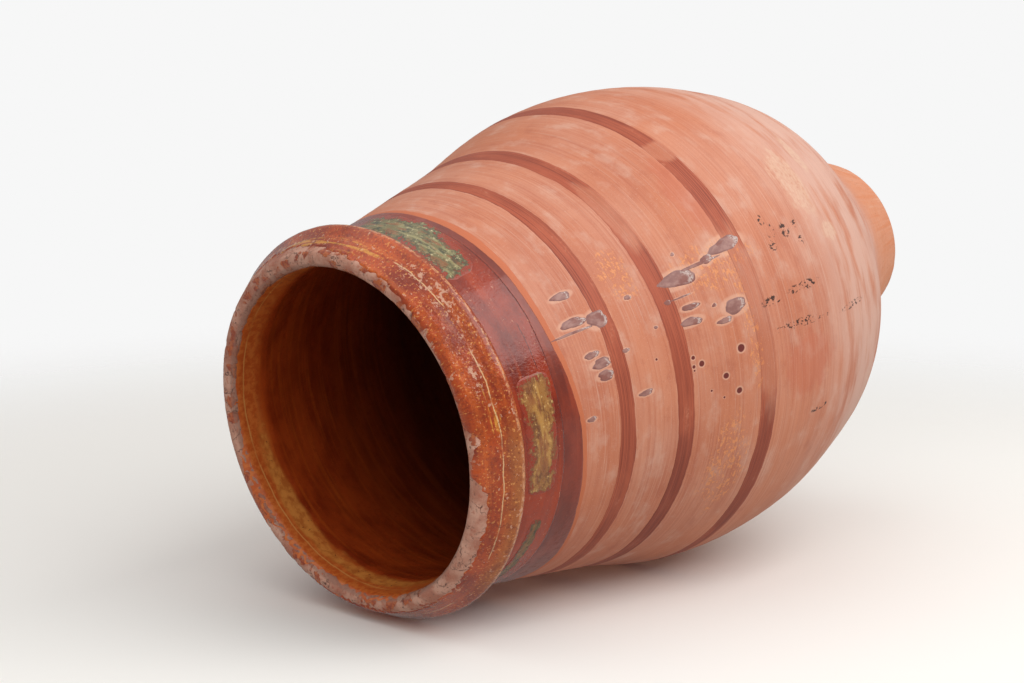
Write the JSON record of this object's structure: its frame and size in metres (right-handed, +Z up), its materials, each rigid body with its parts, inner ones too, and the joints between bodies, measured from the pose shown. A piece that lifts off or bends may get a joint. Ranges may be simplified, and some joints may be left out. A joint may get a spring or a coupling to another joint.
{
  "type": "storage jar",
  "caption": "Tall wheel-thrown terracotta storage jar with a rolled rim, glazed mouth and collar, painted slip bands and a small flat foot.",
  "frame": {"origin": "centre of the foot's flat underside, where the jar stands", "axes": "+Z up from the foot to the mouth; the green splash on the collar faces +X and the ochre splash faces -Y"},
  "size_m": [0.3182, 0.3182, 0.5119],
  "materials": {
    "body_clay": "matte fired earthenware",
    "bare_clay": "matte fired earthenware",
    "worn_clay": "matte, worn",
    "brown_glaze": "glossy",
    "amber_glaze": "glossy, crazed",
    "red_glaze": "glossy",
    "maroon_glaze": "satin",
    "red_slip": "matte",
    "green_glaze": "glossy",
    "ochre_glaze": "glossy",
    "mauve_glaze": "satin"
  },
  "bodies": {
    "root": {"foot_base": "bare_clay", "lower_wall": "bare_clay", "belly_wall": "body_clay", "shoulder_wall": "body_clay", "collar_wall": "body_clay", "rim": "worn_clay", "interior_glaze": "brown_glaze", "rim_glaze": "amber_glaze", "collar_glaze": "red_glaze", "glaze_edge_band": "maroon_glaze", "slip_line": "red_slip", "slip_band_upper": "red_slip", "slip_band_middle": "red_slip", "slip_band_lower": "red_slip", "green_splash": "green_glaze", "ochre_splash": "ochre_glaze", "green_streak": "green_glaze", "glaze_drip_long": "mauve_glaze", "glaze_drips_upper": "mauve_glaze", "glaze_drips_lower": "mauve_glaze"}
  },
  "joints": []
}
